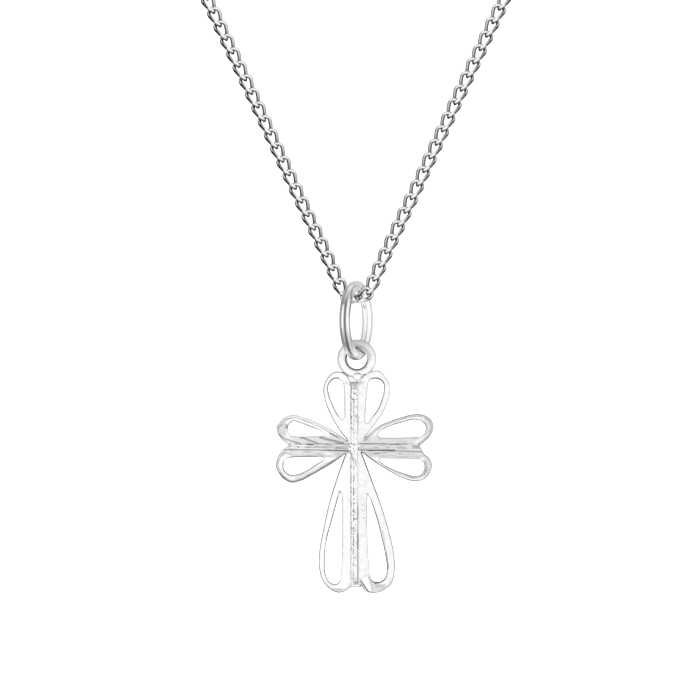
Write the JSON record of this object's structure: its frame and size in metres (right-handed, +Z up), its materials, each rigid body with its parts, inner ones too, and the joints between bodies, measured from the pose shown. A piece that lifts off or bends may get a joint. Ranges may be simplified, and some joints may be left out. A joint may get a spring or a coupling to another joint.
{
  "type": "cross pendant necklace",
  "caption": "Openwork cast silver cross with petal arms, hung by its eyelet and an oval-looking round jump ring from a fine curb chain that closes with a plain clasp.",
  "frame": {"origin": "middle of the neck at the height of the nape, where the worn necklace is held", "axes": "+Z up along the neck; -Y is the front, where the cross hangs and faces; +X to the right seen from the front"},
  "size_m": [0.1058, 0.1208, 0.143],
  "materials": {
    "chain_silver": "polished fine curb links",
    "wire_silver": "polished round wire",
    "cast_silver": "bright cast silver with cut facets and a frosted ridge"
  },
  "bodies": {
    "chain_body": {"chain": "chain_silver", "clasp": "wire_silver"},
    "ring_body": {"jump_ring": "wire_silver"},
    "cross_body": {"cross": "cast_silver"}
  },
  "joints": [
    {"name": "ring_swing", "type": "hinge", "parent": "chain_body", "child": "ring_body", "pos_m": [0.00005, -0.062, -0.112], "axis": [0.9426, -0.3338, 0], "range_deg": [-90, 90]},
    {"name": "cross_swing", "type": "hinge", "parent": "ring_body", "child": "cross_body", "pos_m": [0.00005, -0.062, -0.11729], "axis": [0.3338, 0.9426, 0], "range_deg": [-75, 75]}
  ]
}
